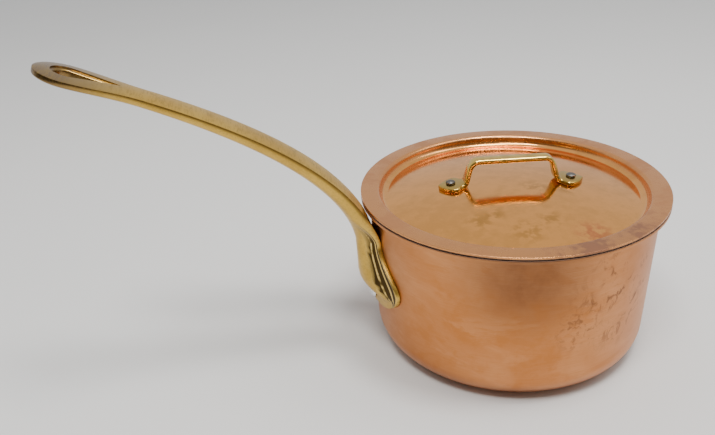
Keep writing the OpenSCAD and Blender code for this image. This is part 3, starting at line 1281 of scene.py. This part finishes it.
    def rivet(self, name: str, y: float, z: float, blind: bool) -> bpy.types.Object:
        """One rivet, joined from its inner head and, if it goes through, its outer head.

        Args:
            name: The piece's name.
            y: Its side offset.
            z: Its height.
            blind: True if its outer end is hidden in the casting.

        Returns:
            The piece.
        """
        wall_in = math.sqrt((self.pan.wall_r(z) - self.pan.wall_t) ** 2 - y * y)
        wall_out = self.pan.wall_r(z) + self.gap
        end = wall_out + (self.blind_depth if blind else self.foot_t)
        outline = domed(self.head_d, self.inner_head_h, 0.3, self.rivet_d, end - wall_in - 0.05)
        inner = turned(name, outline, 72, self._outward(wall_in, y, z, inward=True))
        if not blind:
            outer = turned(name + "_head", domed(self.head_d, self.dome_h, 0.9, self.rivet_d, 1.0), 96,
                           self._outward(end, y, z))
            work = bmesh.new()
            work.from_mesh(inner.data)
            work.from_mesh(outer.data)
            work.to_mesh(inner.data)
            work.free()
            bpy.data.objects.remove(outer)
            tidy(inner.data)
        return inner

    def build(self, brass: bpy.types.Material, steel: bpy.types.Material) -> None:
        """Makes the casting and its rivets.

        Args:
            brass: Finish of the casting.
            steel: Finish of the rivets.
        """
        dress(self.casting(), brass, Body.PAN, ["long_handle"])
        up_z = self.foot_z + self.up_rivet_h
        places = [("handle_rivet_lower", 0.0, self.low_z, False),
                  ("handle_rivet_left", self.up_rivet_gap / 2, up_z, True),
                  ("handle_rivet_right", -self.up_rivet_gap / 2, up_z, True)]
        for node, y, z, blind in places:
            dress(self.rivet(node + "_steel", y, z, blind), steel, Body.PAN, [node])


# --- lid ------------------------------------------------------------------------------------


@dataclass(frozen=True)
class Lid:
    """The pressed copper lid and its lining.

    Attributes:
        lip_r: Radius of its rim.
        flange_z: Height of the flange's top face.
    """

    lip_r: float
    flange_z: float
    flange_w: float = 13.0
    recess_d: float = 7.2
    bend_r: float = 2.6
    fillet_r: float = 4.2
    dome_r: float = 440.0
    copper_t: float = 1.2
    lining_t: float = 0.3

    @property
    def bend(self) -> Point:
        """Centre of the bend at the recess's upper edge."""
        return (self.lip_r - self.flange_w + self.bend_r, self.flange_z - self.bend_r)

    @property
    def fillet(self) -> Point:
        """Centre of the fillet at the recess's foot."""
        return (self.lip_r - self.flange_w - self.fillet_r, self.flange_z - self.recess_d + self.fillet_r)

    @property
    def dome_half(self) -> float:
        """Half angle of the panel's dome, in degrees."""
        return math.degrees(math.asin(self.fillet[0] / (self.dome_r + self.fillet_r)))

    @property
    def dome_z(self) -> float:
        """Height of the dome's centre."""
        return self.fillet[1] - (self.dome_r + self.fillet_r) * math.cos(math.radians(self.dome_half))

    def panel_at(self, r: float) -> float:
        """Height of the panel's top face at a radius."""
        return self.dome_z + math.sqrt(self.dome_r ** 2 - r * r)

    def line(self, depth: float) -> list[Point]:
        """The lid's top outline moved down by a depth, from the rim to the axis.

        Args:
            depth: Distance down from the top face.

        Returns:
            The outline.
        """
        dome = arc((0.0, self.dome_z), self.dome_r - depth, 90.0 - self.dome_half, 90.0, 40)
        return ([(self.lip_r, self.flange_z - depth)]
                + arc(self.bend, self.bend_r - depth, 90.0, 180.0, 16)
                + arc(self.fillet, self.fillet_r + depth, 0.0, -90.0 - self.dome_half, 20)
                + dome[1:-1] + [(0.0, self.dome_z + self.dome_r - depth)])

    def layer(self, name: str, near: float, far: float) -> bpy.types.Object:
        """One closed layer of the lid between two depths."""
        return turned(name, softened(self.line(near) + self.line(far)[::-1], 0.35))

    def build(self, copper: bpy.types.Material, steel: bpy.types.Material) -> None:
        """Makes the copper pressing and the lining.

        Args:
            copper: Finish of the pressing.
            steel: Finish of the lining.
        """
        thick = self.copper_t + self.lining_t
        dress(self.layer("lid_copper_skin", 0.0, self.copper_t), copper, Body.LID, ["lid_shell"])
        dress(self.layer("lid_inner_lining", self.copper_t, thick), steel, Body.LID,
              ["lid_lining"])


@dataclass(frozen=True)
class Bow:
    """The lid's cast bow handle and its two rivets.

    Attributes:
        lid: The lid that it stands on.
        top_z: Height of the bow's top.
    """

    lid: Lid
    top_z: float
    turn: float = -11.0
    rivet_gap: float = 80.0
    top_len: float = 52.0
    root_len: float = 64.0
    strap_w: float = 8.0
    strap_t: float = 3.2
    pad_w: float = 20.0
    pad_len: float = 17.0
    pad_t: float = 3.0
    rivet_d: float = 4.2
    head_d: float = 6.4
    head_h: float = 2.4
    head_in_h: float = 1.5
    corner_in: float = 2.2
    corner_out: float = 1.2
    corner_drop: float = 3.6
    bends: tuple[float, float, float] = (2.2, 2.6, 3.2)
    root_in: float = 1.0
    neck_run: float = 4.0
    neck_more: float = 1.6
    shoulder_run: float = 6.0
    tip_half: float = 0.35
    chamfer_w: float = 1.1
    chamfer_h: float = 0.9
    ease_w: float = 0.5
    ease_h: float = 0.3
    head_side: float = 1.2

    @property
    def tip(self) -> float:
        """Distance of a foot's tip from the bow's middle."""
        return self.root_len / 2 - self.root_in + self.pad_len

    def pad_top(self, x: float) -> float:
        """Height of a foot's top face at a distance from the bow's middle."""
        return self.lid.panel_at(x) + self.pad_t

    def path(self) -> list[Vector]:
        """Centre line of the bow's right half, from the middle of its top to the tip of its foot.

        Returns:
            Points as distance and height.
        """
        mid_z = self.top_z - self.strap_t / 2
        out, root = self.top_len / 2, self.root_len / 2 - self.strap_t / 2
        foot = self.pad_top(root) - self.pad_t / 2
        corners = [Vector((0.0, mid_z)), Vector((out - self.corner_in, mid_z)),
                   Vector((out + self.corner_out, mid_z - self.corner_drop)),
                   Vector((root, foot)), Vector((self.tip, self.pad_top(self.tip) - self.pad_t / 2))]
        return self._bent(corners, self.bends)

    @staticmethod
    def _bent(corners: list[Vector], cuts: Sequence[float]) -> list[Vector]:
        """Rounds the inner corners of an open line, and fills its straights.

        Args:
            corners: The line's corners.
            cuts: How far each rounding cuts back from its corner.

        Returns:
            A dense line.
        """
        line = [corners[0]]
        for i, cut in enumerate(cuts, start=1):
            before = (corners[i - 1] - corners[i]).normalized() * cut + corners[i]
            after = (corners[i + 1] - corners[i]).normalized() * cut + corners[i]
            start = line[-1]
            line += [start.lerp(before, k / 8) for k in range(1, 9)]
            line += [before * (1 - t) ** 2 + corners[i] * (2 * t * (1 - t)) + after * t * t
                     for t in (k / 10 for k in range(1, 11))]
        start = line[-1]
        line += [start.lerp(corners[-1], k / 30) for k in range(1, 31)]
        return line

    def half_at(self, x: float) -> float:
        """Half width of the bow at a distance from its middle.

        Args:
            x: The distance.

        Returns:
            Half the width.
        """
        root = self.root_len / 2 - self.root_in
        shoulder = root + self.shoulder_run
        neck = self.strap_w / 2 + self.neck_more
        if x < root - self.neck_run:
            return self.strap_w / 2
        if x < root:
            return mix(self.strap_w / 2, neck, ease((x - root + self.neck_run) / self.neck_run))
        if x < shoulder:
            return mix(neck, self.pad_w / 2, ease((x - root) / self.shoulder_run))
        u = clamp01((x - shoulder) / (self.tip - shoulder))
        return max(self.tip_half, self.pad_w / 2 * (1 - u ** 1.7) ** 0.75)

    def section(self, here: Vector, way: Vector, x: float) -> list[Vector]:
        """One ring of the bow: a flat strap with chamfered top edges.

        Args:
            here: Its centre, as distance and height.
            way: Direction of the line there.
            x: The distance that its width is taken from.

        Returns:
            The ring's points as (distance, side, height), in millimetres.
        """
        half = self.half_at(x)
        on_foot = ease((x - self.root_len / 2 + 2) / 3.0)
        thick = mix(self.strap_t, self.pad_t, on_foot) / 2
        up = Vector((-way.y, way.x))
        cut = min(self.chamfer_w, half * 0.4)
        high, foot = thick - self.chamfer_h, -thick + self.ease_h
        outline = [(-half, foot), (-half, high), (-half + cut, thick), (half - cut, thick),
                   (half, high), (half, foot), (half - self.ease_w, -thick),
                   (-half + self.ease_w, -thick)]
        if half < 1.2:
            outline = [(v, h * 0.8) for v, h in outline]
        ring = []
        for v, h in softened_evenly(outline, 0.5):
            flat = here + up * h
            ring.append(Vector((flat.x, v, flat.y)))
        return ring

    def casting(self) -> bpy.types.Object:
        """The bow in one piece, from foot to foot.

        Returns:
            The bow.
        """
        half_line = self.path()
        line = [Vector((-p.x, p.y)) for p in reversed(half_line[1:])] + half_line
        place = Matrix.Rotation(math.radians(self.turn), 4, "Z")
        rings = []
        for i, here in enumerate(line):
            way = (line[min(i + 1, len(line) - 1)] - line[max(i - 1, 0)]).normalized()
            rings.append([place @ (p * MM) for p in self.section(here, way, abs(here.x))])
        return skinned("lid_bow", rings)

    def rivet(self, name: str, side: float) -> bpy.types.Object:
        """One lid rivet with a head above the foot and a low head under the lid.

        Args:
            name: The piece's name.
            side: -1 for the left rivet, 1 for the right.

        Returns:
            The rivet.
        """
        x = side * self.rivet_gap / 2
        top = self.pad_top(abs(x))
        under = self.lid.panel_at(abs(x)) - self.lid.copper_t - self.lid.lining_t - self.head_in_h
        outline = domed(self.head_d, self.head_h, self.head_side, self.rivet_d, top - under - self.head_in_h)
        low = [(0.0, under - top), (self.head_d / 2 - 0.6, under - top),
               (self.head_d / 2, under - top + 0.5), (self.head_d / 2, under - top + self.head_in_h)]
        spin = Matrix.Rotation(math.radians(self.turn), 4, "Z")
        return turned(name, low + outline[1:], 72, spin @ Matrix.Translation(Vector((x, 0.0, top)) * MM))

    def build(self, brass: bpy.types.Material, steel: bpy.types.Material) -> None:
        """Makes the bow and its rivets.

        Args:
            brass: Finish of the bow.
            steel: Finish of the rivets.
        """
        dress(self.casting(), brass, Body.LID, ["lid_handle"])
        for node, side in (("lid_rivet_left", -1.0), ("lid_rivet_right", 1.0)):
            dress(self.rivet(node + "_steel", side), steel, Body.LID, [node])


def softened_evenly(outline: Sequence[Point], radius: float) -> list[Point]:
    """Rounds every corner of a closed ring with the same number of points, whatever its turn.

    Args:
        outline: The ring's points.
        radius: The rounding's largest cut back from a corner.

    Returns:
        Three points for each corner.
    """
    done: list[Point] = []
    count = len(outline)
    for i, point in enumerate(outline):
        here = Vector(point)
        before, after = Vector(outline[i - 1]) - here, Vector(outline[(i + 1) % count]) - here
        cut_a, cut_b = min(radius, before.length * 0.4), min(radius, after.length * 0.4)
        first, last = here + before.normalized() * cut_a, here + after.normalized() * cut_b
        middle = first * 0.25 + here * 0.5 + last * 0.25
        done += [(first.x, first.y), (middle.x, middle.y), (last.x, last.y)]
    return done


# --- studio ---------------------------------------------------------------------------------


@dataclass(frozen=True)
class Lamp:
    """A soft rectangular lamp.

    Attributes:
        name: Its name.
        place: Where it stands, in metres.
        size: Its width and height.
        power: Its power in watts.
        colour: The colour of its light.
        aim: The point that it faces.
    """

    name: str
    place: tuple[float, float, float]
    size: tuple[float, float]
    power: float
    colour: Colour = (1.0, 1.0, 1.0)
    aim: tuple[float, float, float] = (0.0, 0.0, 0.08)

    def build(self) -> None:
        """Adds the lamp to the scene."""
        data = bpy.data.lights.new(self.name, "AREA")
        data.shape, data.size, data.size_y = "RECTANGLE", *self.size
        data.energy, data.color = self.power, self.colour
        lamp = bpy.data.objects.new(self.name, data)
        lamp.location = self.place
        lamp.rotation_euler = (Vector(self.aim) - Vector(self.place)).to_track_quat("-Z", "Y").to_euler()
        bpy.context.scene.collection.objects.link(lamp)


@dataclass(frozen=True)
class Studio:
    """Floor, soft light and camera.

    Attributes:
        handle_turn: Angle of the handle from the camera's own frame, in degrees.
        focal: Focal length, in the same unit as frame_w.
        frame_w: Width of the frame.
    """

    handle_turn: float = 24.0
    camera_back: float = 0.436313
    camera_up: float = 0.306744
    yaw: float = 0.239
    pitch: float = 0.469
    roll: float = -0.066
    focal: float = 700.0
    frame_w: float = 715.0
    sensor: float = 36.0
    floor_r: float = 6.0
    sky: Colour = (0.93, 0.94, 0.95)
    room: Colour = (0.19, 0.18, 0.17)
    sky_strength: float = 0.87

    def camera(self) -> None:
        """Places the camera."""
        ahead = Vector((-math.sin(self.yaw) * math.cos(self.pitch),
                        math.cos(self.yaw) * math.cos(self.pitch), -math.sin(self.pitch)))
        level = ahead.cross(Vector((0, 0, 1))).normalized()
        upward = level.cross(ahead)
        right = level * math.cos(self.roll) + upward * math.sin(self.roll)
        over = upward * math.cos(self.roll) - level * math.sin(self.roll)
        pose = Matrix.Identity(4)
        place = Vector((0, -self.camera_back, self.camera_up))
        for column, axis in enumerate((right, over, -ahead, place)):
            for row in range(3):
                pose[row][column] = axis[row]
        data = bpy.data.cameras.new("camera")
        data.sensor_fit, data.sensor_width = "HORIZONTAL", self.sensor
        data.lens = self.focal / self.frame_w * self.sensor
        data.clip_start, data.clip_end = 0.01, 50.0
        camera = bpy.data.objects.new("camera", data)
        camera.matrix_world = Matrix.Rotation(math.radians(-self.handle_turn), 4, "Z") @ pose
        bpy.context.scene.collection.objects.link(camera)
        bpy.context.scene.camera = camera

    def floor(self) -> None:
        """Lays the pale paper."""
        work = bmesh.new()
        bmesh.ops.create_circle(work, cap_ends=True, radius=self.floor_r, segments=96)
        mesh = bpy.data.meshes.new("floor")
        work.to_mesh(mesh)
        work.free()
        mesh.materials.append(Backdrop().material())
        new_object("floor", mesh)

    def light(self) -> None:
        """Sets the air, pale behind the pan and darker in front of it, and the lamps."""
        b = Board("studio_air", air=True)
        turn = math.radians(self.handle_turn)
        behind = b.x * math.sin(turn) + b.y * math.cos(turn)
        pale = (behind + b.z * 0.55).rise(-0.30, 0.25)
        colour = b.tint(pale, self.room, self.sky)
        air = b.node("ShaderNodeBackground", {}, {0: colour, 1: self.sky_strength})
        b.node("ShaderNodeOutputWorld", {}, {0: air.outputs[0]})
        bpy.context.scene.world = b.owner
        for lamp in (Lamp("key", (-0.35, -0.55, 1.50), (0.55, 0.30), 15.0, (1.0, 0.98, 0.95)),
                     Lamp("middle", (0.25, -0.25, 1.60), (0.30, 0.50), 13.0, (1.0, 0.99, 0.97)),
                     Lamp("side", (0.95, -0.30, 1.25), (0.40, 0.80), 4.0, (1.0, 0.97, 0.93))):
            lamp.build()

    def build(self) -> None:
        """Makes the whole studio."""
        self.camera()
        self.floor()
        self.light()


def main() -> None:
    """Builds every sub-assembly from the frame's own sizes, in order."""
    logging.basicConfig(level=logging.INFO, format="%(name)s: %(message)s")
    copper, lid_copper, lining = BodyCopper().material(), LidCopper().material(), LiningSteel().material()
    brass = HandleBrass().material()
    bright = PlainMetal("rivet_steel", (0.78, 0.79, 0.80), (0.55, 0.55, 0.55), 0.10, 0.10, 120.0).material()
    # The bow's legs carry painted shade near the lid, below dark_to.
    pale_brass = PlainMetal("bow_brass", (0.72, 0.48, 0.115), (0.30, 0.18, 0.045), 0.10, 0.12, 60.0,
                             dark_from=0.1160, dark_to=0.1240).material()
    grey = PlainMetal("lid_rivet_steel", (0.17, 0.16, 0.15), (0.085, 0.08, 0.075), 0.32, 0.15,
                      300.0).material()

    lip_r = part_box("pan_shell")[1].x / MM
    pan = Pan(height=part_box("pan_lining")[1].z / MM, lip_r=lip_r)
    pan.build(copper, lining)
    LongHandle(pan).build(brass, bright)
    lid = Lid(lip_r=lip_r, flange_z=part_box("lid_shell")[1].z / MM)
    lid.build(lid_copper, lining)
    Bow(lid, top_z=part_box("lid_handle")[1].z / MM).build(pale_brass, grey)
    Studio().build()


if __name__ == "__main__":
    main()
